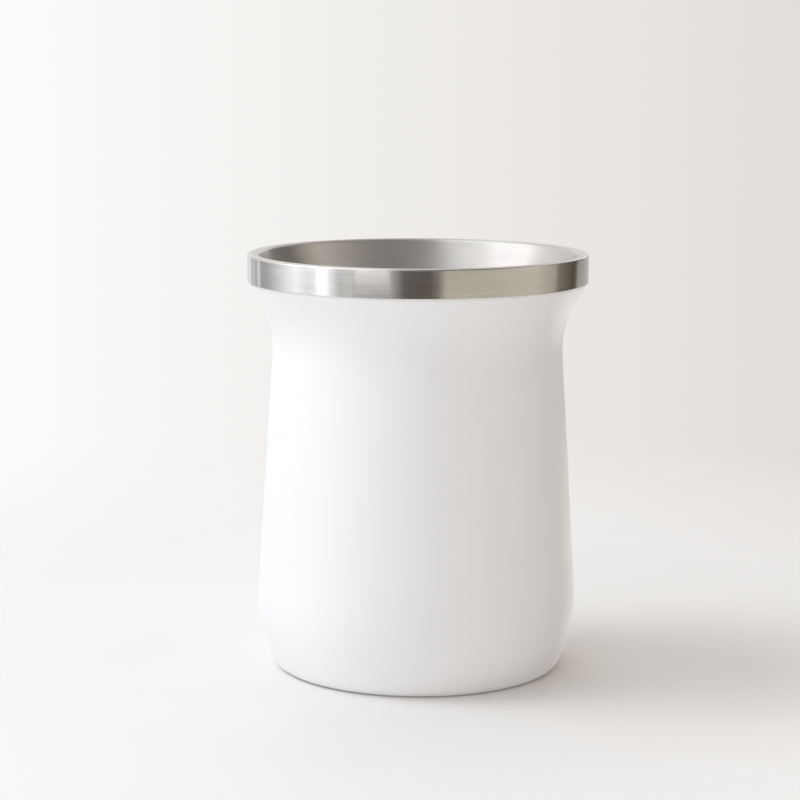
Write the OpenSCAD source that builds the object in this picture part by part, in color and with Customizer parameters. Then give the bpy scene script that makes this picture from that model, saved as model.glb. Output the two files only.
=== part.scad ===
// Double-walled mate cup of stainless steel sheet: a white powder-coated shell with a flared neck,
// and a bare steel liner whose mouth is rolled over into a flat lip and an upright rim band.
// The cup stands on its foot ring at z = 0, its axis is +Z, and all sizes are millimetres.

/* [Rim] */
// Outside diameter of the bare steel rim band
rim_d = 86; // [83:0.5:92]
// Height of the cup from the table to the top of the lip
cup_h = 105.8; // [96:0.1:120]
// Height of the rim band, from the lip down to its lower edge
band_h = 7; // [6:0.1:10]
// Width of the lip, from the bore of the mouth to the outside of the band
lip_w = 3.1; // [2.4:0.1:3.6]
// Rounding of the lip's drinking edge, on the inside
lip_inner_r = 1; // [0.6:0.1:1.2]
// Rounding of the lip's outer corner, at the top of the band
lip_outer_r = 0.4; // [0.2:0.05:0.9]

/* [Shell] */
// Thickness of the shell's sheet, with its powder coat
shell_t = 0.6; // [0.4:0.05:0.9]
// How far the neck, at its narrowest, lies inside the outside of the rim band
neck_inset = 6.3; // [5:0.1:8]
// Radius of the hollow curve that makes the neck
neck_curve_r = 24; // [18:1:32]
// Angle of the flare above the neck, from upright
flare_angle = 30; // [26:1:38]
// Radius of the bend between the flare and the collar inside the band
collar_bend_r = 2; // [1:0.25:3]
// Gap between the collar's top edge and the underside of the lip
collar_gap = 0.5; // [0.4:0.1:1.5]
// How far the belly, at its widest, lies inside the outside of the rim band
belly_inset = 2.4; // [0:0.1:4]
// Height of the widest point of the belly
belly_z = 18.7; // [14:0.1:26]
// Radius of the swelling curve of the belly
belly_curve_r = 40; // [34:1:50]
// Radius of the corner between the belly and the foot ring
foot_corner_r = 3.3; // [2:0.1:5]
// Width of the flat of the foot ring, which the cup stands on
foot_ring_w = 1.3; // [0.8:0.1:3]

/* [Liner] */
// Thickness of the liner's sheet, which also makes the lip and the band
liner_t = 0.5; // [0.4:0.05:0.55]
// Gap between the shell and the liner at the neck
wall_gap = 1.4; // [0.9:0.1:2.4]
// Height of the liner's floor above the table
floor_z = 12; // [11:0.5:20]
// Radius of the curve from the floor up into the wall
bowl_curve_r = 19; // [12:1:24]
// How far the wall draws in from the neck down to the bowl
bowl_inset = 2.4; // [0.6:0.1:4]

/* [Base] */
// Height of the hem that the shell turns up inside the foot ring
hem_h = 6.6; // [6.2:0.1:8]
// Inside radius of the bends in the hem and in the base pieces
bend_r = 0.6; // [0.4:0.1:0.8]
// Thickness of the cover's sheet
cover_t = 0.5; // [0.4:0.1:0.8]
// Height of the cover's underside above the table
cover_z = 1.3; // [0.8:0.1:1.5]
// Height of the cover's flange, with its bend
cover_flange_h = 2; // [1.8:0.1:2.2]
// Width of the level ring round the cover's raised middle, with the flange's bend
cover_ring_w = 8.4; // [5:0.2:16]
// How far the middle of the cover is raised
cover_step = 0.7; // [0.3:0.1:1]
// Thickness of the closure's sheet
closure_t = 0.6; // [0.5:0.1:0.8]
// Gap between the closure's flange and the cover's flange
flange_gap = 0.2; // [0.1:0.1:0.4]
// Diameter of the flat roof of the dimple round the pumping port
dimple_d = 8; // [7.5:0.5:14]
// Depth of the dimple
dimple_depth = 1.4; // [0.8:0.1:1.6]
// Diameter of the pumping port
port_d = 1.6; // [1:0.1:2.5]
// Diameter of the glass bead that seals the port
seal_d = 6.4; // [4:0.2:7.2]
// Thickness of the glass bead in its middle
seal_h = 1; // [0.5:0.1:1.2]
// Diameter of the getter tablet
getter_d = 8; // [6:0.5:10]
// Thickness of the getter tablet
getter_h = 1.8; // [1:0.1:2.2]

/* [Hidden] */

// How far the straight pieces of a curve may stray from it, and the facets of a full turn
curve_error = 0.005;
$fn = 160;

coat_white = [0.93, 0.93, 0.92];
bare_steel = [0.72, 0.71, 0.69];
glass_brown = [0.36, 0.27, 0.18];
getter_grey = [0.45, 0.45, 0.47];

rim_r = rim_d / 2;
mouth_r = rim_r - lip_w;
band_z = cup_h - band_h;

// The collar stands face to face with the inside of the rim band.
collar_r = rim_r - liner_t;
collar_centre = [collar_r - collar_bend_r, band_z];
collar_top = cup_h - liner_t - collar_gap;

// The neck's circle lies outside the cup, and the flare is the straight line between it and the
// collar's bend.
neck_r = rim_r - neck_inset;
neck_centre_r = neck_r + neck_curve_r;
neck_drop = (collar_bend_r + neck_curve_r - cos(flare_angle) * (neck_centre_r - collar_centre[0]))
    / sin(flare_angle);
neck_centre = [neck_centre_r, band_z - neck_drop];

// The belly's circle, and the foot corner that rolls inside it down to the table.
belly_centre = [rim_r - belly_inset - belly_curve_r, belly_z];
foot_angle = asin((belly_z - foot_corner_r) / (belly_curve_r - foot_corner_r));
foot_centre = belly_centre + (belly_curve_r - foot_corner_r) * [cos(foot_angle), -sin(foot_angle)];
shell_taper = taper_angle(belly_centre, belly_curve_r, neck_centre, neck_curve_r);

// The hem turns up from the foot ring and makes the wall of the well.
hem_bend_r = bend_r + shell_t;
hem_centre = [foot_centre[0] - foot_ring_w, hem_bend_r];
well_r = hem_centre[0] - hem_bend_r;

// The liner follows the shell's neck at one gap, then runs straight up and out to the lip.
liner_depth = shell_t + wall_gap + liner_t;
liner_neck_r = neck_curve_r + liner_depth;
lip_centre = [mouth_r + lip_inner_r, cup_h - lip_inner_r];
mouth_face = mouth_angle(neck_centre, liner_neck_r, lip_centre, lip_inner_r);
bowl_centre = [neck_r - liner_depth - bowl_inset - bowl_curve_r, floor_z + bowl_curve_r];
liner_taper = taper_angle(bowl_centre, bowl_curve_r, neck_centre, liner_neck_r);

// The closure's panel lies a bend below the top of the hem, and the cover sits under it in the well.
closure_z = hem_h - closure_t - bend_r;
closure_bend_r = bend_r + closure_t;
dimple_z = closure_z + dimple_depth;
dimple_bends = raised_middle(dimple_d / 2, closure_z, dimple_depth, closure_t);
cover_bend_r = bend_r + cover_t;
cover_flange_z = cover_z + cover_flange_h;

// Angle, up from level, at which the straight wall faces between a bulging and a hollow circle
function taper_angle(low, low_r, high, high_r) =
    let (across = high - low)
    atan2(across[1], across[0]) - acos((low_r + high_r) / norm(across));

// Angle, up from level, at which a straight wall faces that touches the inner side of two circles
function mouth_angle(low, low_r, high, high_r) =
    let (across = high - low)
    atan2(across[1], across[0]) + acos((low_r - high_r) / norm(across));

// Points along a round curve, from one angle to another
function curve(centre, radius, from, to) =
    let (
        widest_step = 2 * acos(1 - curve_error / radius),
        steps = ceil(abs(to - from) / widest_step)
    )
    [for (i = [0:steps]) let (a = from + (to - from) * i / steps) centre + radius * [cos(a), sin(a)]];

function reversed(points) = [for (i = [len(points) - 1:-1:0]) points[i]];

// One face of a bend, as deep below the show face as the depth given. A bend is [centre, radius of
// the show face, from angle, to angle, side], and its side is 1 where the sheet lies outside the
// show face's circle and -1 where it lies inside. A bend tighter than that depth is a sharp corner.
function bend_face(bend, depth) =
    let (
        radius = bend[1] + bend[4] * depth,
        middle = (bend[2] + bend[3]) / 2,
        reach = radius / cos((bend[3] - bend[2]) / 2)
    )
    radius > 0 ? curve(bend[0], radius, bend[2], bend[3]) : [bend[0] + reach * [cos(middle), sin(middle)]];

// The outline of one face of a sheet
function sheet_face(bends, depth) = [for (bend = bends) each bend_face(bend, depth)];

// The two bends that raise the middle of a level panel, seen on its underside
function raised_middle(middle_r, panel_z, step, t) =
    let (foot_r = bend_r + t, turn = acos(1 - step / (bend_r + foot_r)))
    [
        [[middle_r, panel_z + step - bend_r], bend_r, 90, 90 - turn, 1],
        [[middle_r + (bend_r + foot_r) * sin(turn), panel_z + foot_r], foot_r, 270 - turn, 270, -1]
    ];

// A sheet turned about the axis. Each end is a point on the show face and a point on the back.
module turned_sheet(bends, t, start, end) {
    rotate_extrude()
        polygon(concat(
            [start[0]],
            sheet_face(bends, 0),
            [end[0], end[1]],
            reversed(sheet_face(bends, t)),
            [start[1]]
        ));
}

// The coated outside wall, from the hem in the well, round the foot, up the belly, neck and flare,
// to the collar that stands hidden inside the rim band
module outer_shell() {
    bends = [
        [hem_centre, hem_bend_r, 180, 270, -1],
        [foot_centre, foot_corner_r, 270, 360 - foot_angle, -1],
        [belly_centre, belly_curve_r, -foot_angle, shell_taper, -1],
        [neck_centre, neck_curve_r, 180 + shell_taper, 180 - flare_angle, 1],
        [collar_centre, collar_bend_r, -flare_angle, 0, -1]
    ];
    color(coat_white)
        turned_sheet(
            bends,
            shell_t,
            start = [[well_r, hem_h], [well_r + shell_t, hem_h]],
            end = [[collar_r, collar_top], [collar_r - shell_t, collar_top]]
        );
}

// The bare steel inside of the cup: the floor, bowl, neck and mouth, rolled over at the top into the
// lip and the rim band
module inner_liner() {
    bends = [
        [bowl_centre, bowl_curve_r, 270, 360 + liner_taper, 1],
        [neck_centre, liner_neck_r, 180 + liner_taper, mouth_face, -1],
        [lip_centre, lip_inner_r, mouth_face, 90, -1],
        [[rim_r - lip_outer_r, cup_h - lip_outer_r], lip_outer_r, 90, 0, -1]
    ];
    color(bare_steel)
        turned_sheet(
            bends,
            liner_t,
            start = [[0, floor_z], [0, floor_z - liner_t]],
            end = [[rim_r, band_z], [rim_r - liner_t, band_z]]
        );
}

// The welded bottom of the vacuum space, with the dimple and the port that it was pumped through
module vacuum_closure() {
    flange_z = cover_flange_z + flange_gap;
    rim_bend = [[well_r - closure_bend_r, closure_z - bend_r], bend_r, 90, 0, 1];
    color(bare_steel)
        turned_sheet(
            concat(dimple_bends, [rim_bend]),
            closure_t,
            start = [[port_d / 2, dimple_z], [port_d / 2, dimple_z + closure_t]],
            end = [[well_r - closure_t, flange_z], [well_r, flange_z]]
        );
}

// The bead of solder glass that hangs in the dimple and fills the port
module port_seal() {
    seal_r = seal_d / 2;
    dome_r = (seal_r * seal_r + seal_h * seal_h) / (2 * seal_h);
    dome_turn = asin(seal_r / dome_r);
    dome_centre = [0, dimple_z - seal_h + dome_r];
    color(glass_brown)
        rotate_extrude()
            polygon(concat(
                curve(dome_centre, dome_r, 270, 270 + dome_turn),
                [
                    [port_d / 2, dimple_z],
                    [port_d / 2, dimple_z + closure_t],
                    [0, dimple_z + closure_t]
                ]
            ));
}

// The tablet that binds the last gas in the vacuum space, fixed on top of the closure, midway between
// the dimple and the flange
module getter() {
    dimple_foot = dimple_bends[1][0][0];
    panel_edge = well_r - closure_bend_r;
    color(getter_grey)
        translate([(dimple_foot + panel_edge) / 2, 0, closure_z + closure_t])
            cylinder(d = getter_d, h = getter_h);
}

// The plain steel disc that shows from below, pressed into the well
module base_cover() {
    rim_bend = [[well_r - cover_bend_r, cover_z + cover_bend_r], cover_bend_r, 270, 360, -1];
    color(bare_steel)
        turned_sheet(
            concat(raised_middle(well_r - cover_ring_w, cover_z, cover_step, cover_t), [rim_bend]),
            cover_t,
            start = [[0, cover_z + cover_step], [0, cover_z + cover_step + cover_t]],
            end = [[well_r, cover_flange_z], [well_r - cover_t, cover_flange_z]]
        );
}

outer_shell();
inner_liner();
vacuum_closure();
port_seal();
getter();
base_cover();
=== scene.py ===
import math

import bmesh
import bpy
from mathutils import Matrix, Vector


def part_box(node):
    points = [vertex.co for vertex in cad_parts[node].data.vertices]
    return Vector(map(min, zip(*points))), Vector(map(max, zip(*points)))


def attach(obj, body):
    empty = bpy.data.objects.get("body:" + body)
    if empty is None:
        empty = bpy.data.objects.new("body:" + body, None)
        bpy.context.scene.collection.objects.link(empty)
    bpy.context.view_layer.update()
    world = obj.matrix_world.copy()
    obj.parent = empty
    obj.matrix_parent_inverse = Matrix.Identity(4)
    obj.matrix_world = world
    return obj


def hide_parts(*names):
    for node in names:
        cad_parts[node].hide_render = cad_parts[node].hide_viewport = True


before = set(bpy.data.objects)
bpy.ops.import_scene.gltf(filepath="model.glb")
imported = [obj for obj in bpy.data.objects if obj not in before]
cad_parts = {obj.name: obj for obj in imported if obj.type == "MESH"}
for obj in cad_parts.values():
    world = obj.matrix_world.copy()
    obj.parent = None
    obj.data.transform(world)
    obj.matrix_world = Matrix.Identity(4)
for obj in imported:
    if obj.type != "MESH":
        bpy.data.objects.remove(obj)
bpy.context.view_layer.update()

MM = 0.001
HALF_TURN = math.pi

# Sizes read from the frame
liner_low, liner_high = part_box("inner_liner")
_, shell_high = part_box("outer_shell")
cover_low, cover_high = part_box("base_cover")
RIM_R = liner_high.x
CUP_H = liner_high.z
COLLAR_TOP = shell_high.z
LINER_BOTTOM = liner_low.z
WELL_R = cover_high.x
COVER_Z = cover_low.z
COVER_TOP = cover_high.z

# Sizes of the rim
BAND_H = 7 * MM
LIP_W = 3.1 * MM
LIP_INNER_R = 1 * MM
LIP_OUTER_R = 0.4 * MM
BAND_BULGE = 0.08 * MM

# Sizes of the shell
SHELL_T = 0.6 * MM
NECK_INSET = 6.3 * MM
NECK_CURVE_R = 24 * MM
FLARE_ANGLE = math.radians(30)
COLLAR_BEND_R = 2 * MM
BELLY_INSET = 2.4 * MM
BELLY_Z = 18.7 * MM
BELLY_CURVE_R = 40 * MM
FOOT_CORNER_R = 3.3 * MM
FOOT_RING_W = 1.3 * MM
HEM_H = 6.6 * MM

# Sizes of the liner
LINER_T = 0.5 * MM
WALL_GAP = 1.4 * MM
BOWL_CURVE_R = 19 * MM
BOWL_INSET = 2.4 * MM

# Sizes of the base cover
BEND_R = 0.6 * MM
COVER_T = 0.5 * MM
COVER_RING_W = 8.4 * MM
COVER_STEP = 0.7 * MM

# How finely the turned pieces are drawn
CURVE_ERROR = 0.002 * MM
MERGE_DISTANCE = 0.0005 * MM
TURN_STEPS = 224
CUT_EDGE_R = 0.08 * MM
CUT_EDGE_STEPS = 3

# The liner's finish changes from satin to brushed between these distances from the axis
SATIN_R = RIM_R - 1.2 * MM
BRUSHED_R = RIM_R - 0.4 * MM

# The two values between which most of the noise in a finish lies
NOISE_LOW = 0.3
NOISE_HIGH = 0.7

# The scale of brushed steel's broad streaks against that of its fine lines, in x, y and z, and how
# much of the tint follows each
STREAK_SCALE = (0.6, 0.6, 0.3)
STREAK_SHARE = 0.6
LINE_SHARE = 0.4

# The camera, which looks a little down and past the cup's left side
CAMERA_PLACE = Vector((0, -596.6 * MM, 160.9 * MM))
CAMERA_DIP = math.radians(8.84)
CAMERA_TURN = math.radians(1.896)
CAMERA_LENS = 106.56
CAMERA_SENSOR = 36
CAMERA_SHIFT = 0.0756
CAMERA_CLIP = 0.01

# The floor, which fades out between FLOOR_NEAR and FLOOR_FAR from the cup
FLOOR_SIZE = 6
FLOOR_NEAR = 0.16
FLOOR_FAR = 0.34
FLOOR_COLOUR = (0.916, 0.90, 0.88, 1)
FLOOR_BOUNCE_COLOUR = (0.98, 0.965, 0.945, 1)
BLACK = (0, 0, 0, 1)

# The floor's colour has painted shade: one soft spot a little darker beside the cup, towards the
# window. It also darkens slowly, as painted shade, from FRONT_SHADE_START, in front of the cup, to
# FRONT_SHADE_END, and stays so beyond
SIDE_SHADE_CENTRE = (-48 * MM, 5 * MM, 0)
SIDE_SHADE_R = 55 * MM
SIDE_SHADE = 0.925
FRONT_SHADE_START = -100 * MM
FRONT_SHADE_END = -35 * MM
FRONT_SHADE = 0.94

# The even light, and the background's colours from left to right as the camera sees them: painted
# light, lighter on the left, where the window is, and darker to the right. Their ends are the
# sideways part of the direction in which the camera looks
AMBIENT = (1.0, 0.93, 0.86, 1)
AMBIENT_STRENGTH = 0.50
BACKGROUND_LEFT_END = -0.18
BACKGROUND_RIGHT_END = 0.16
BACKGROUND_LEFT = (0.985, 0.98, 0.975, 1)
BACKGROUND_MIDDLE = (0.92, 0.905, 0.888, 1)
BACKGROUND_MIDDLE_AT = 0.26
BACKGROUND_RIGHT = (0.757, 0.727, 0.697, 1)

# The lamps, which face the cup from LAMP_DISTANCE away: azimuth, elevation, size, watts and colour
LAMP_DISTANCE = 1.5
LAMPS = {
    "window_light": (-92, 55, (0.9, 0.7), 6.7, (0.93, 1.0, 1.11)),
    "small_window_light": (-90, 50, (0.4, 0.5), 2.4, (0.92, 1.0, 0.98)),
    "front_left_light": (-45, 26, (2.2, 1.5), 7.2, (0.93, 1.0, 1.15)),
    "back_light": (180, 45, (1.5, 1.0), 5.0, (1.03, 1.0, 0.95)),
    "back_left_light": (-140, 45, (1.5, 1.0), 1.3, (0.65, 1.0, 1.5)),
}

# The rings of cards round the cup, from the foot of the lowest ring to the middle of the ceiling:
# distance from the cup's axis, and height
LOW_FOOT = (0.72, -0.9)
LOW_HEAD = (0.72, 0.17)
HIGH_HEAD = (0.62, 0.52)
TOP_HEAD = (0.28, 1.1)
CEILING_MIDDLE = (0.01, 1.2)

# The few cards that stand just inside the low ring, at the band's height and below the cup
NEAR_FOOT = (0.70, 0.062)
NEAR_HEAD = (0.70, 0.17)
UNDER_FOOT = (0.70, -0.26)
UNDER_HEAD = (0.70, -0.055)

# How many degrees of a card's arc one flat stretch of it spans
CARD_STEP = 4


# Turned sheet metal

def curve_steps(radius, turn):
    """How many straight pieces keep a curve within CURVE_ERROR of the true one."""
    widest = 2 * math.acos(1 - CURVE_ERROR / radius)
    return max(2, math.ceil(abs(turn) / widest))


def draw_line(bm, pen, point):
    """Draws a straight line from the pen's vertex to a point (radius, height)."""
    end = bmesh.ops.extrude_vert_indiv(bm, verts=[pen])["verts"][0]
    end.co = (point[0], 0, point[1])
    return end


def draw_curve(bm, pen, centre, radius, start, end):
    """Draws a line to the start of a round curve, then the curve, as a compass would."""
    begin = (centre[0] + radius * math.cos(start), centre[1] + radius * math.sin(start))
    pen = draw_line(bm, pen, begin)
    turned = bmesh.ops.spin(
        bm, geom=[pen], cent=(centre[0], 0, centre[1]), axis=(0, -1, 0), dvec=(0, 0, 0),
        angle=end - start, steps=curve_steps(radius, end - start),
        use_merge=False, use_normal_flip=False, use_duplicate=False,
    )
    return next(part for part in turned["geom_last"] if isinstance(part, bmesh.types.BMVert))


def sharp_corner(centre, radius, begin, finish):
    """Where the two straight sides meet inside a bend that is tighter than its sheet."""
    middle = (begin + finish) / 2
    reach = radius / math.cos((finish - begin) / 2)
    return centre + reach * Vector((math.cos(middle), math.sin(middle)))


def turned_sheet(name, bends, thickness, start, end):
    """A sheet turned about Z. Each bend is (centre, radius on the show face, from, to, side), where
    side is 1 if the sheet lies outside that circle and -1 if inside. start and end are each a point
    on the show face and a point on the back."""
    bm = bmesh.new()
    first = bm.verts.new((start[0][0], 0, start[0][1]))
    pen = first
    for centre, radius, begin, finish, side in bends:
        pen = draw_curve(bm, pen, centre, radius, begin, finish)
    front_corner = draw_line(bm, pen, end[0])
    back_corner = draw_line(bm, front_corner, end[1])
    pen = back_corner
    for centre, radius, begin, finish, side in reversed(bends):
        back_radius = radius + side * thickness
        if back_radius > 0:
            pen = draw_curve(bm, pen, centre, back_radius, finish, begin)
        else:
            pen = draw_line(bm, pen, sharp_corner(centre, back_radius, begin, finish))
    last = draw_line(bm, pen, start[1])
    corners = [front_corner, back_corner]
    if start[0][0] > 0:
        bm.edges.new((last, first))
        corners += [first, last]
    bmesh.ops.bevel(
        bm, geom=corners, offset=CUT_EDGE_R, offset_type="OFFSET", segments=CUT_EDGE_STEPS,
        profile=0.5, affect="VERTICES", material=-1,
    )
    bmesh.ops.spin(
        bm, geom=bm.verts[:] + bm.edges[:], cent=(0, 0, 0), axis=(0, 0, 1), dvec=(0, 0, 0),
        angle=math.tau, steps=TURN_STEPS, use_merge=True, use_normal_flip=False, use_duplicate=False,
    )
    bmesh.ops.remove_doubles(bm, verts=bm.verts[:], dist=MERGE_DISTANCE)
    bmesh.ops.recalc_face_normals(bm, faces=bm.faces[:])
    return finished_piece(name, bm)


def finished_piece(name, bm):
    """The object of a finished bmesh, smooth, with its large faces kept flat in the shading."""
    mesh = bpy.data.meshes.new(name)
    bm.to_mesh(mesh)
    bm.free()
    mesh.polygons.foreach_set("use_smooth", [True] * len(mesh.polygons))
    piece = bpy.data.objects.new(name, mesh)
    bpy.context.scene.collection.objects.link(piece)
    shading = piece.modifiers.new("even_shading", "WEIGHTED_NORMAL")
    shading.keep_sharp = True
    return piece


def taper_angle(low, low_r, high, high_r):
    """The angle, up from level, at which a straight wall faces between a bulging and a hollow circle."""
    across = high - low
    return math.atan2(across.y, across.x) - math.acos((low_r + high_r) / across.length)


def mouth_angle(low, low_r, high, high_r):
    """The angle at which a straight wall faces where it touches the near side of two circles."""
    across = high - low
    return math.atan2(across.y, across.x) + math.acos((low_r - high_r) / across.length)


def raised_middle(middle_r, panel_z, step, thickness):
    """The two bends that raise the middle of a level panel, seen on its underside."""
    foot_r = BEND_R + thickness
    turn = math.acos(1 - step / (BEND_R + foot_r))
    foot_x = middle_r + (BEND_R + foot_r) * math.sin(turn)
    up = HALF_TURN / 2
    down = 3 * HALF_TURN / 2
    return [
        (Vector((middle_r, panel_z + step - BEND_R)), BEND_R, up, up - turn, 1),
        (Vector((foot_x, panel_z + foot_r)), foot_r, down - turn, down, -1),
    ]


# The centres of the curves that the shell and the liner share

BAND_Z = CUP_H - BAND_H
COLLAR_R = RIM_R - LINER_T
COLLAR_CENTRE = Vector((COLLAR_R - COLLAR_BEND_R, BAND_Z))
NECK_R = RIM_R - NECK_INSET
NECK_CENTRE_R = NECK_R + NECK_CURVE_R
FLARE_REACH = math.cos(FLARE_ANGLE) * (NECK_CENTRE_R - COLLAR_CENTRE.x)
NECK_DROP = (COLLAR_BEND_R + NECK_CURVE_R - FLARE_REACH) / math.sin(FLARE_ANGLE)
NECK_CENTRE = Vector((NECK_CENTRE_R, BAND_Z - NECK_DROP))


def outer_shell():
    """The coated wall, from the hem in the well to the collar hidden inside the rim band."""
    belly_centre = Vector((RIM_R - BELLY_INSET - BELLY_CURVE_R, BELLY_Z))
    roll_r = BELLY_CURVE_R - FOOT_CORNER_R
    foot_angle = math.asin((BELLY_Z - FOOT_CORNER_R) / roll_r)
    foot_centre = belly_centre + roll_r * Vector((math.cos(foot_angle), -math.sin(foot_angle)))
    taper = taper_angle(belly_centre, BELLY_CURVE_R, NECK_CENTRE, NECK_CURVE_R)
    hem_bend_r = BEND_R + SHELL_T
    hem_centre = Vector((foot_centre.x - FOOT_RING_W, hem_bend_r))
    well_r = hem_centre.x - hem_bend_r
    bends = [
        (hem_centre, hem_bend_r, HALF_TURN, 1.5 * HALF_TURN, -1),
        (foot_centre, FOOT_CORNER_R, 1.5 * HALF_TURN, 2 * HALF_TURN - foot_angle, -1),
        (belly_centre, BELLY_CURVE_R, -foot_angle, taper, -1),
        (NECK_CENTRE, NECK_CURVE_R, HALF_TURN + taper, HALF_TURN - FLARE_ANGLE, 1),
        (COLLAR_CENTRE, COLLAR_BEND_R, -FLARE_ANGLE, 0, -1),
    ]
    return turned_sheet(
        "powder_coated_shell", bends, SHELL_T,
        start=((well_r, HEM_H), (well_r + SHELL_T, HEM_H)),
        end=((COLLAR_R, COLLAR_TOP), (COLLAR_R - SHELL_T, COLLAR_TOP)),
    )


def inner_liner():
    """The bare steel bowl, neck and mouth, rolled over into the lip and the rim band."""
    depth = SHELL_T + WALL_GAP + LINER_T
    floor_z = LINER_BOTTOM + LINER_T
    neck_curve_r = NECK_CURVE_R + depth
    lip_centre = Vector((RIM_R - LIP_W + LIP_INNER_R, CUP_H - LIP_INNER_R))
    bowl_centre = Vector((NECK_R - depth - BOWL_INSET - BOWL_CURVE_R, floor_z + BOWL_CURVE_R))
    taper = taper_angle(bowl_centre, BOWL_CURVE_R, NECK_CENTRE, neck_curve_r)
    mouth = mouth_angle(NECK_CENTRE, neck_curve_r, lip_centre, LIP_INNER_R)
    edge_centre = Vector((RIM_R - LIP_OUTER_R, CUP_H - LIP_OUTER_R))
    bends = [
        (bowl_centre, BOWL_CURVE_R, 1.5 * HALF_TURN, 2 * HALF_TURN + taper, 1),
        (NECK_CENTRE, neck_curve_r, HALF_TURN + taper, mouth, -1),
        (lip_centre, LIP_INNER_R, mouth, HALF_TURN / 2, -1),
        (edge_centre, LIP_OUTER_R, HALF_TURN / 2, 0, -1),
    ]
    return turned_sheet(
        "steel_liner_with_rim_band", bends, LINER_T,
        start=((0, floor_z), (0, floor_z - LINER_T)),
        end=((RIM_R, BAND_Z), (RIM_R - LINER_T, BAND_Z)),
    )


def base_cover():
    """The bare steel disc that shows in the well under the cup."""
    cover_bend_r = BEND_R + COVER_T
    rim_centre = Vector((WELL_R - cover_bend_r, COVER_Z + cover_bend_r))
    rim_bend = (rim_centre, cover_bend_r, 1.5 * HALF_TURN, 2 * HALF_TURN, -1)
    middle_bends = raised_middle(WELL_R - COVER_RING_W, COVER_Z, COVER_STEP, COVER_T)
    middle_z = COVER_Z + COVER_STEP
    return turned_sheet(
        "steel_base_cover", middle_bends + [rim_bend], COVER_T,
        start=((0, middle_z), (0, middle_z + COVER_T)),
        end=((WELL_R, COVER_TOP), (WELL_R - COVER_T, COVER_TOP)),
    )


# Shader building

def add_node(tree, kind, inputs=None, **settings):
    """Adds a node. Each input is a plain value, or the output of another node to link to it."""
    made = tree.nodes.new(kind)
    for name, value in settings.items():
        setattr(made, name, value)
    for name, value in (inputs or {}).items():
        if isinstance(value, bpy.types.NodeSocket):
            tree.links.new(value, made.inputs[name])
        else:
            made.inputs[name].default_value = value
    return made


def math_node(tree, operation, first, second=0.0):
    """The result of one sum, product or other operation."""
    made = add_node(tree, "ShaderNodeMath", {0: first, 1: second}, operation=operation)
    return made.outputs[0]


def range_node(tree, value, low, high, to_low, to_high):
    """A value moved from one range to another, and kept within it."""
    made = add_node(tree, "ShaderNodeMapRange", {
        "Value": value, "From Min": low, "From Max": high, "To Min": to_low, "To Max": to_high,
    })
    return made.outputs["Result"]


def noise_range(tree, noise, to_low, to_high):
    """A noise moved to another range, with its rare high and low ends cut off."""
    return range_node(tree, noise, NOISE_LOW, NOISE_HIGH, to_low, to_high)


def mix_colours(tree, factor, first, second):
    """One colour blended into another."""
    made = add_node(tree, "ShaderNodeMix", {0: factor, 6: first, 7: second}, data_type="RGBA")
    return made.outputs[2]


def mix_values(tree, factor, first, second):
    """One value blended into another."""
    return add_node(tree, "ShaderNodeMix", {0: factor, 2: first, 3: second}).outputs[0]


def round_the_axis(tree, place):
    """A place's x, y and z, and its distance from the cup's axis."""
    parts = add_node(tree, "ShaderNodeSeparateXYZ", {0: place})
    x, y, z = parts.outputs[0], parts.outputs[1], parts.outputs[2]
    x_squared = math_node(tree, "MULTIPLY", x, x)
    y_squared = math_node(tree, "MULTIPLY", y, y)
    radius = math_node(tree, "SQRT", math_node(tree, "ADD", x_squared, y_squared))
    return x, y, z, radius


def new_group(name, inputs, outputs):
    """An empty node group with named sockets. Inputs are (name, kind, value)."""
    group = bpy.data.node_groups.new(name, "ShaderNodeTree")
    for label, kind, value in inputs:
        socket = group.interface.new_socket(label, in_out="INPUT", socket_type=kind)
        if value is not None:
            socket.default_value = value
    for label, kind in outputs:
        group.interface.new_socket(label, in_out="OUTPUT", socket_type=kind)
    return group, group.nodes.new("NodeGroupInput"), group.nodes.new("NodeGroupOutput")


def brushed_lines_group():
    """Fine lines that run round the cup's axis: narrow across, long round the turn."""
    group, given, result = new_group(
        "Brushed lines",
        [("Vector", "NodeSocketVector", None), ("Lines per metre", "NodeSocketFloat", 3000.0),
         ("Streaks per turn", "NodeSocketFloat", 6.0)],
        [("Lines", "NodeSocketFloat"), ("Streaks", "NodeSocketFloat")],
    )
    x, y, z, radius = round_the_axis(group, given.outputs["Vector"])
    turn_scale = math_node(group, "DIVIDE", given.outputs["Streaks per turn"], radius)
    across = math_node(group, "SUBTRACT", z, radius)
    fine = add_node(group, "ShaderNodeCombineXYZ", {
        0: math_node(group, "MULTIPLY", x, turn_scale),
        1: math_node(group, "MULTIPLY", y, turn_scale),
        2: math_node(group, "MULTIPLY", across, given.outputs["Lines per metre"]),
    })
    lines = add_node(group, "ShaderNodeTexNoise", {
        "Vector": fine.outputs[0], "Scale": 1.0, "Detail": 3.0, "Roughness": 0.65,
    })
    coarse = add_node(
        group, "ShaderNodeVectorMath", {0: fine.outputs[0], 1: STREAK_SCALE}, operation="MULTIPLY",
    )
    streaks = add_node(group, "ShaderNodeTexNoise", {
        "Vector": coarse.outputs[0], "Scale": 1.0, "Detail": 2.0, "Roughness": 0.5,
    })
    group.links.new(lines.outputs[0], result.inputs["Lines"])
    group.links.new(streaks.outputs[0], result.inputs["Streaks"])
    return group


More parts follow.
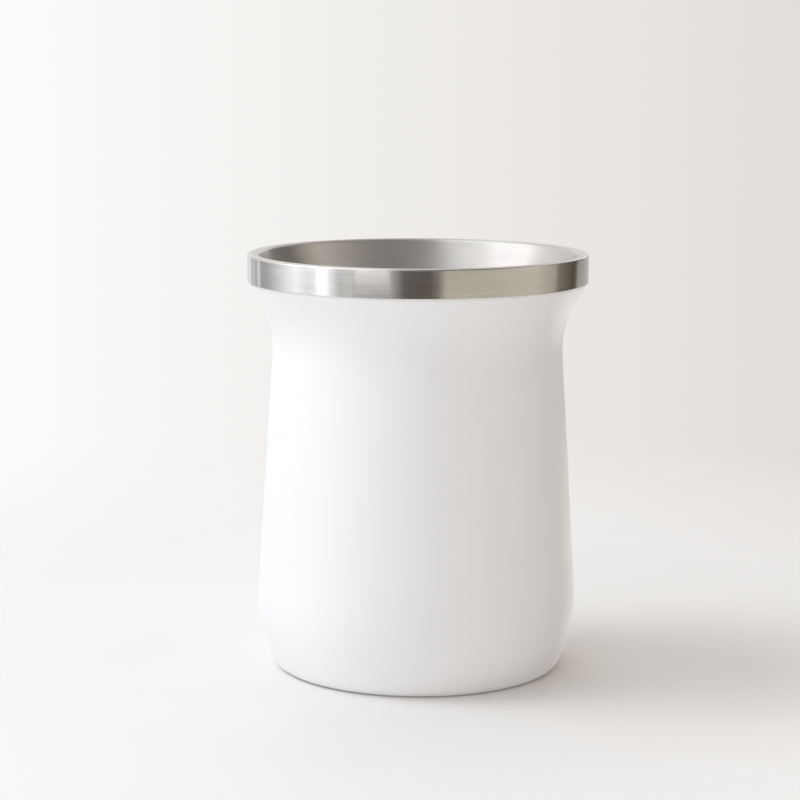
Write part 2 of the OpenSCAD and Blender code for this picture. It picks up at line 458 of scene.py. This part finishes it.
def fine_grain_group():
    """The very fine pebbled grain of a sprayed or blasted surface, and a slow change across it."""
    group, given, result = new_group(
        "Fine grain",
        [("Vector", "NodeSocketVector", None), ("Grains per metre", "NodeSocketFloat", 1500.0)],
        [("Grain", "NodeSocketFloat"), ("Drift", "NodeSocketFloat")],
    )
    grain = add_node(group, "ShaderNodeTexNoise", {
        "Vector": given.outputs["Vector"], "Scale": given.outputs["Grains per metre"],
        "Detail": 2.0, "Roughness": 0.55,
    })
    drift = add_node(group, "ShaderNodeTexNoise", {
        "Vector": given.outputs["Vector"], "Scale": 45.0, "Detail": 3.0, "Roughness": 0.5,
    })
    group.links.new(grain.outputs[0], result.inputs["Grain"])
    group.links.new(drift.outputs[0], result.inputs["Drift"])
    return group


def new_material(name):
    """A new material, with its tree, its Principled shader and its Object coordinates."""
    material = bpy.data.materials.new(name)
    material.use_nodes = True
    tree = material.node_tree
    shader = tree.nodes["Principled BSDF"]
    place = add_node(tree, "ShaderNodeTexCoord").outputs["Object"]
    return material, tree, shader, place


def place_group(tree, group, inputs):
    """A shared effect placed in a material, with its own values."""
    return add_node(tree, "ShaderNodeGroup", inputs, node_tree=group).outputs


def bump(tree, height, distance, under=None):
    """A Bump node for a height between 0 and 1, on top of another bump if one is given."""
    made = add_node(tree, "ShaderNodeBump", {"Height": height, "Distance": distance})
    if under is not None:
        tree.links.new(under, made.inputs["Normal"])
    return made.outputs["Normal"]


def link_finish(tree, shader, tint, rough, normal):
    """Gives a shader what changes over its surface."""
    tree.links.new(tint, shader.inputs["Base Color"])
    tree.links.new(rough, shader.inputs["Roughness"])
    tree.links.new(normal, shader.inputs["Normal"])


def brush_round_the_axis(tree, shader, strength):
    """Makes a shader bare steel that stretches its reflections as lines round the axis do."""
    tangent = add_node(tree, "ShaderNodeTangent", direction_type="RADIAL", axis="Z")
    tree.links.new(tangent.outputs[0], shader.inputs["Tangent"])
    shader.inputs["Metallic"].default_value = 1.0
    shader.inputs["Anisotropic"].default_value = strength
    shader.inputs["Anisotropic Rotation"].default_value = 0.25


def grained_finish(name, grain_group, grains, tinted_by, tints, roughness, depth):
    """A material that varies with the fine grain: its tint by the grain or by the slow change, its
    roughness by the slow change, and its surface by the grain, of this depth."""
    material, tree, shader, place = new_material(name)
    grain = place_group(tree, grain_group, {"Vector": place, "Grains per metre": grains})
    tint = mix_colours(tree, grain[tinted_by], *tints)
    rough = noise_range(tree, grain["Drift"], *roughness)
    link_finish(tree, shader, tint, rough, bump(tree, grain["Grain"], depth))
    return material, shader


def white_powder_coat(grain_group):
    """Matte white powder coat."""
    material, shader = grained_finish(
        "white_powder_coat", grain_group, grains=1400.0, tinted_by="Drift",
        tints=((0.865, 0.862, 0.858, 1), (0.885, 0.882, 0.878, 1)),
        roughness=(0.38, 0.46), depth=0.008 * MM,
    )
    shader.inputs["IOR"].default_value = 1.5
    return material


def rim_and_liner_steel(lines_group, grain_group):
    """Stainless steel, brushed in lines round the rim band and satin inside the cup. The rolled band
    bulges very slightly."""
    material, tree, shader, place = new_material("rim_and_liner_steel")
    lines = place_group(tree, lines_group, {
        "Vector": place, "Lines per metre": 3200.0, "Streaks per turn": 7.0,
    })
    grain = place_group(tree, grain_group, {"Vector": place, "Grains per metre": 5200.0})
    _, _, z, radius = round_the_axis(tree, place)
    on_band = range_node(tree, radius, SATIN_R, BRUSHED_R, 0.0, 1.0)
    above_middle = math_node(tree, "SUBTRACT", z, BAND_Z + BAND_H / 2)
    up_band = math_node(tree, "DIVIDE", above_middle, BAND_H / 2)
    bulge = math_node(tree, "SUBTRACT", 1.0, math_node(tree, "MULTIPLY", up_band, up_band))
    streaks = math_node(tree, "MULTIPLY", lines["Streaks"], STREAK_SHARE)
    fine_lines = math_node(tree, "MULTIPLY", lines["Lines"], LINE_SHARE)
    dull = (0.56, 0.545, 0.525, 1)
    bright = (0.72, 0.707, 0.69, 1)
    tint = mix_colours(tree, math_node(tree, "ADD", streaks, fine_lines), dull, bright)
    band_rough = noise_range(tree, lines["Lines"], to_low=0.15, to_high=0.21)
    satin_rough = noise_range(tree, grain["Drift"], to_low=0.34, to_high=0.40)
    rough = mix_values(tree, on_band, satin_rough, band_rough)
    height = mix_values(tree, on_band, grain["Grain"], lines["Lines"])
    bulged = bump(tree, math_node(tree, "MULTIPLY", bulge, on_band), BAND_BULGE)
    normal = bump(tree, height, distance=0.006 * MM, under=bulged)
    link_finish(tree, shader, tint, rough, normal)
    brush_round_the_axis(tree, shader, strength=0.9)
    return material


def turned_cover_steel(lines_group):
    """The base cover's bare steel, with the rings of its turned finish."""
    material, tree, shader, place = new_material("turned_cover_steel")
    lines = place_group(tree, lines_group, {
        "Vector": place, "Lines per metre": 2200.0, "Streaks per turn": 3.0,
    })
    dull = (0.56, 0.55, 0.535, 1)
    bright = (0.66, 0.65, 0.635, 1)
    tint = mix_colours(tree, lines["Streaks"], dull, bright)
    rough = noise_range(tree, lines["Lines"], to_low=0.24, to_high=0.36)
    link_finish(tree, shader, tint, rough, bump(tree, lines["Lines"], distance=0.003 * MM))
    brush_round_the_axis(tree, shader, strength=0.5)
    return material


def closure_steel(grain_group):
    """The hidden closure's plain drawn steel."""
    material, shader = grained_finish(
        "closure_steel", grain_group, grains=2600.0, tinted_by="Drift",
        tints=((0.50, 0.49, 0.47, 1), (0.62, 0.61, 0.59, 1)),
        roughness=(0.32, 0.46), depth=0.004 * MM,
    )
    shader.inputs["Metallic"].default_value = 1.0
    return material


def solder_glass(grain_group):
    """The brown glass bead of the port."""
    material, _ = grained_finish(
        "solder_glass", grain_group, grains=900.0, tinted_by="Grain",
        tints=((0.16, 0.09, 0.045, 1), (0.26, 0.15, 0.08, 1)),
        roughness=(0.10, 0.22), depth=0.01 * MM,
    )
    return material


def sintered_getter_metal(grain_group):
    """The rough grey pressed metal of the getter tablet."""
    material, shader = grained_finish(
        "sintered_getter_metal", grain_group, grains=4200.0, tinted_by="Grain",
        tints=((0.12, 0.12, 0.125, 1), (0.24, 0.24, 0.25, 1)),
        roughness=(0.62, 0.78), depth=0.05 * MM,
    )
    shader.inputs["Metallic"].default_value = 0.8
    return material


def dress(piece, node, material):
    """Puts a new piece in the place of a CAD node, with its finish."""
    piece.data.materials.clear()
    piece.data.materials.append(material)
    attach(piece, "root")
    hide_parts(node)


def repaint(node, material):
    """Gives a CAD node that stays a better finish."""
    for material_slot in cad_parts[node].material_slots:
        material_slot.material = material


# The studio

def bare_material(name):
    """A material with nothing in it yet but its Object coordinates and its output."""
    material = bpy.data.materials.new(name)
    material.use_nodes = True
    tree = material.node_tree
    tree.nodes.clear()
    place = add_node(tree, "ShaderNodeTexCoord").outputs["Object"]
    output = tree.nodes.new("ShaderNodeOutputMaterial")
    return material, tree, place, output.inputs["Surface"]


def painted_floor_shade(tree, place):
    """The floor's painted shade, from 0 to 1: a little darker beside the cup, and lightest in front."""
    distance = add_node(
        tree, "ShaderNodeVectorMath", {0: place, 1: SIDE_SHADE_CENTRE}, operation="DISTANCE",
    ).outputs["Value"]
    side = range_node(tree, distance, 0.0, SIDE_SHADE_R, SIDE_SHADE, 1.0)
    depth = add_node(tree, "ShaderNodeSeparateXYZ", {0: place}).outputs[1]
    front = range_node(tree, depth, FRONT_SHADE_START, FRONT_SHADE_END, 1.0, FRONT_SHADE)
    return math_node(tree, "MULTIPLY", side, front)


def pale_floor():
    """A pale floor that fades into the background away from the cup. It throws a little more light
    back up than the camera sees in it, as the rest of a white sweep would."""
    bpy.ops.mesh.primitive_plane_add(size=FLOOR_SIZE)
    floor = bpy.context.object
    floor.name = "pale_floor"
    material, tree, place, surface = bare_material("pale_floor")
    distance = add_node(tree, "ShaderNodeVectorMath", {0: place}, operation="LENGTH").outputs["Value"]
    away = range_node(tree, distance, FLOOR_NEAR, FLOOR_FAR, 0.0, 1.0)
    seen = add_node(tree, "ShaderNodeLightPath").outputs["Is Camera Ray"]
    # The colour the camera sees carries the painted shade
    shaded = mix_colours(tree, painted_floor_shade(tree, place), BLACK, FLOOR_COLOUR)
    colour = mix_colours(tree, seen, FLOOR_BOUNCE_COLOUR, shaded)
    lit = add_node(tree, "ShaderNodeBsdfDiffuse", {"Color": colour})
    clear = add_node(tree, "ShaderNodeBsdfTransparent")
    blend = add_node(tree, "ShaderNodeMixShader", {
        0: math_node(tree, "MULTIPLY", away, seen), 1: lit.outputs[0], 2: clear.outputs[0],
    })
    tree.links.new(blend.outputs[0], surface)
    floor.data.materials.append(material)
    floor.visible_glossy = False


def studio_world():
    """Even soft light all round, and a pale background with painted light, brighter on the left where
    the window is.
    """
    world = bpy.data.worlds.new("studio")
    bpy.context.scene.world = world
    world.use_nodes = True
    tree = world.node_tree
    tree.nodes.clear()
    direction = add_node(tree, "ShaderNodeTexCoord").outputs["Generated"]
    sideways = add_node(tree, "ShaderNodeSeparateXYZ", {0: direction}).outputs[0]
    place = range_node(tree, sideways, BACKGROUND_LEFT_END, BACKGROUND_RIGHT_END, 0.0, 1.0)
    ramp = add_node(tree, "ShaderNodeValToRGB", {0: place})
    ramp.color_ramp.elements[0].color = BACKGROUND_LEFT
    ramp.color_ramp.elements[1].color = BACKGROUND_RIGHT
    middle = ramp.color_ramp.elements.new(BACKGROUND_MIDDLE_AT)
    middle.color = BACKGROUND_MIDDLE
    seen = add_node(tree, "ShaderNodeLightPath").outputs["Is Camera Ray"]
    light = add_node(tree, "ShaderNodeBackground", {0: AMBIENT, 1: AMBIENT_STRENGTH})
    background = add_node(tree, "ShaderNodeBackground", {0: ramp.outputs[0], 1: 1.0})
    blend = add_node(tree, "ShaderNodeMixShader", {
        0: seen, 1: light.outputs[0], 2: background.outputs[0],
    })
    output = tree.nodes.new("ShaderNodeOutputWorld")
    tree.links.new(blend.outputs[0], output.inputs["Surface"])


def direction_from(azimuth, elevation):
    """The direction from the cup. Azimuth is in degrees round from the front, left below 0."""
    turn, rise = math.radians(azimuth), math.radians(elevation)
    return Vector((math.sin(turn) * math.cos(rise), -math.cos(turn) * math.cos(rise), math.sin(rise)))


def soft_lamp(name, azimuth, elevation, size, watts, colour):
    """A soft lamp that faces the cup from LAMP_DISTANCE away."""
    lamp = bpy.data.lights.new(name, "AREA")
    lamp.shape = "RECTANGLE"
    lamp.size, lamp.size_y = size
    lamp.energy = watts
    lamp.color = colour
    holder = bpy.data.objects.new(name, lamp)
    bpy.context.scene.collection.objects.link(holder)
    toward = direction_from(azimuth, elevation)
    holder.location = Vector((0, 0, CUP_H / 2)) + LAMP_DISTANCE * toward
    holder.rotation_euler = toward.to_track_quat("Z", "Y").to_euler()
    holder.visible_camera = False
    holder.visible_glossy = False


def reflection_card(name, foot, head, start, end, start_colour, end_colour):
    """A curved card that only shows in reflections. It spans an arc of azimuths, and its colour
    changes evenly along the arc. foot and head are each (distance from the cup's axis, height)."""
    bm = bmesh.new()
    turn = math.radians(start)
    edge_points = [
        bm.verts.new((distance * math.sin(turn), -distance * math.cos(turn), height))
        for distance, height in (foot, head)
    ]
    edge = bm.edges.new(edge_points)
    bmesh.ops.spin(
        bm, geom=edge_points + [edge], cent=(0, 0, 0), axis=(0, 0, 1), dvec=(0, 0, 0),
        angle=math.radians(end - start), steps=max(2, round(abs(end - start) / CARD_STEP)),
        use_merge=False, use_normal_flip=False, use_duplicate=False,
    )
    mesh = bpy.data.meshes.new(name)
    bm.to_mesh(mesh)
    bm.free()
    card = bpy.data.objects.new(name, mesh)
    bpy.context.scene.collection.objects.link(card)
    glow = card_glow(name, (start + end) / 2, (end - start) / 2, start_colour, end_colour)
    mesh.materials.append(glow)
    card.visible_camera = False
    card.visible_diffuse = False
    card.visible_transmission = False
    card.visible_shadow = False


def card_glow(name, middle, reach, start_colour, end_colour):
    """A card's glow, which changes evenly from one colour to another. The azimuth is measured from
    the middle of the arc, so that it never passes the half turn where angles jump."""
    material, tree, place, surface = bare_material(name)
    level = add_node(tree, "ShaderNodeVectorRotate", {
        "Vector": place, "Axis": (0, 0, 1), "Angle": math.radians(-middle),
    })
    parts = add_node(tree, "ShaderNodeSeparateXYZ", {0: level.outputs[0]})
    forward = math_node(tree, "MULTIPLY", parts.outputs[1], -1.0)
    azimuth = math_node(tree, "ARCTAN2", parts.outputs[0], forward)
    along = range_node(tree, azimuth, math.radians(-reach), math.radians(reach), 0.0, 1.0)
    colour = mix_colours(tree, along, (*start_colour, 1), (*end_colour, 1))
    glow = add_node(tree, "ShaderNodeEmission", {0: colour, 1: 1.0})
    tree.links.new(glow.outputs[0], surface)
    return material


def studio_camera():
    """The camera, at the photograph's viewing angle."""
    lens = bpy.data.cameras.new("camera")
    lens.lens = CAMERA_LENS
    lens.sensor_width = CAMERA_SENSOR
    lens.shift_x = CAMERA_SHIFT
    lens.clip_start = CAMERA_CLIP
    camera = bpy.data.objects.new("camera", lens)
    camera.location = CAMERA_PLACE
    camera.rotation_euler = (HALF_TURN / 2 - CAMERA_DIP, 0, CAMERA_TURN)
    bpy.context.scene.collection.objects.link(camera)
    bpy.context.scene.camera = camera


bpy.context.scene.view_settings.view_transform = "Standard"
studio_camera()
studio_world()
pale_floor()
for lamp_name, lamp_values in LAMPS.items():
    soft_lamp(lamp_name, *lamp_values)

# What the bare steel reflects, as rings of cards. The rim band shows the low ring, the inside of the
# mouth shows the high ring, and the rounded lip shows the rest. The near cards lighten and darken the
# band's upper half, and the one under them lights the coat where it turns away on the right. Each
# card is (start, end, start colour, end colour).
LOW_CARDS = {
    "dark_front": (-9, 8, (0.14, 0.125, 0.11), (0.15, 0.13, 0.105)),
    "dark_front_right_edge": (8, 13.5, (0.15, 0.13, 0.105), (0.24, 0.215, 0.18)),
    "front_right_corner": (13.5, 18, (0.26, 0.235, 0.20), (0.66, 0.60, 0.52)),
    "warm_right": (18, 86, (0.69, 0.625, 0.54), (0.72, 0.66, 0.575)),
    "warm_right_end": (86, 103.5, (0.67, 0.61, 0.54), (0.50, 0.46, 0.39)),
    "dark_right": (103.5, 121, (0.26, 0.235, 0.19), (0.14, 0.125, 0.10)),
    "darkest_right": (121, 130.5, (0.10, 0.09, 0.065), (0.10, 0.09, 0.065)),
    "back_right_wall": (130.5, 197, (0.40, 0.375, 0.35), (0.79, 0.78, 0.78)),
    "back_left_wall": (-163, -148.5, (0.80, 0.79, 0.79), (1.02, 1.01, 1.01)),
    "far_post": (-148.5, -142, (0.62, 0.61, 0.61), (0.60, 0.59, 0.59)),
    "gap_between_posts": (-142, -138.8, (0.82, 0.82, 0.82), (0.82, 0.82, 0.82)),
    "near_post": (-138.8, -133.3, (0.54, 0.54, 0.54), (0.54, 0.54, 0.54)),
    "gap_by_the_wall": (-133.3, -128.6, (0.96, 0.96, 0.96), (0.96, 0.96, 0.96)),
    "grey_left_wall": (-128.6, -118, (0.44, 0.44, 0.44), (0.54, 0.54, 0.54)),
    "pale_left_wall": (-118, -88, (0.50, 0.50, 0.50), (1.34, 1.34, 1.36)),
    "wall_by_the_blind": (-88, -76, (1.45, 1.45, 1.47), (1.06, 1.06, 1.09)),
    "narrow_blind": (-76, -68.7, (1.08, 1.08, 1.11), (1.26, 1.26, 1.30)),
    "narrow_window": (-68.7, -60.5, (1.75, 1.78, 1.82), (1.75, 1.78, 1.82)),
    "window_edge": (-60.5, -53, (1.28, 1.31, 1.36), (0.74, 0.76, 0.78)),
    "grey_front_left": (-53, -42, (0.64, 0.65, 0.66), (0.82, 0.81, 0.79)),
    "front_left_wall": (-42, -18.5, (0.50, 0.485, 0.47), (0.41, 0.395, 0.37)),
    "dark_front_left_edge": (-18.5, -9, (0.56, 0.54, 0.51), (0.16, 0.15, 0.13)),
}
HIGH_CARDS = {
    "high_window": (-103, -60, (2.5, 2.5, 2.55), (2.5, 2.5, 2.55)),
    "high_left_wall": (-60, -8, (1.76, 1.75, 1.77), (0.54, 0.53, 0.525)),
    "high_front_wall": (-8, 14, (0.53, 0.52, 0.515), (0.38, 0.365, 0.35)),
    "high_front_right_wall": (14, 46, (0.365, 0.345, 0.325), (0.39, 0.36, 0.33)),
    "high_warm_right_wall": (46, 84, (0.43, 0.40, 0.365), (1.12, 1.02, 0.92)),
    "high_right_wall": (84, 112, (1.08, 0.98, 0.88), (0.29, 0.27, 0.24)),
    "high_back_right_wall": (112, 150, (0.21, 0.195, 0.17), (0.11, 0.105, 0.095)),
    "high_back_wall": (150, 220, (0.90, 0.89, 0.87), (0.95, 0.94, 0.93)),
    "high_back_left_wall": (-140, -103, (0.95, 0.94, 0.93), (1.65, 1.65, 1.67)),
}
TOP_CARDS = {
    "top_left": (-125, -25, (1.6, 1.61, 1.64), (1.6, 1.61, 1.64)),
    "top_front": (-25, 20, (0.50, 0.48, 0.46), (0.24, 0.225, 0.20)),
    "top_right": (20, 130, (0.24, 0.225, 0.20), (0.24, 0.225, 0.20)),
    "top_back": (130, 235, (0.60, 0.59, 0.57), (0.85, 0.84, 0.83)),
}
CEILING_CARDS = {
    "ceiling_left": (-150, -20, (0.95, 0.95, 0.95), (0.95, 0.95, 0.95)),
    "ceiling_right": (-20, 110, (0.28, 0.265, 0.24), (0.28, 0.265, 0.24)),
    "ceiling_back": (110, 210, (0.75, 0.74, 0.72), (0.80, 0.79, 0.78)),
}
NEAR_CARDS = {
    "light_above_the_left_wall": (-40.5, -17.5, (1.72, 1.70, 1.68), (1.62, 1.59, 1.56)),
    "dark_above_the_front": (-11, 9, (0.055, 0.05, 0.04), (0.055, 0.045, 0.035)),
}
UNDER_CARDS = {
    "bright_floor_behind_the_right": (131, 192, (1.7, 1.69, 1.67), (1.7, 1.69, 1.67)),
}
RINGS = [
    (UNDER_FOOT, UNDER_HEAD, UNDER_CARDS),
    (NEAR_FOOT, NEAR_HEAD, NEAR_CARDS),
    (LOW_FOOT, LOW_HEAD, LOW_CARDS),
    (LOW_HEAD, HIGH_HEAD, HIGH_CARDS),
    (HIGH_HEAD, TOP_HEAD, TOP_CARDS),
    (TOP_HEAD, CEILING_MIDDLE, CEILING_CARDS),
]
for foot, head, cards in RINGS:
    for card_name, card_values in cards.items():
        reflection_card(card_name, foot, head, *card_values)

brushed_lines = brushed_lines_group()
fine_grain = fine_grain_group()

dress(outer_shell(), "outer_shell", white_powder_coat(fine_grain))
dress(inner_liner(), "inner_liner", rim_and_liner_steel(brushed_lines, fine_grain))
dress(base_cover(), "base_cover", turned_cover_steel(brushed_lines))
repaint("vacuum_closure", closure_steel(fine_grain))
repaint("port_seal", solder_glass(fine_grain))
repaint("getter", sintered_getter_metal(fine_grain))
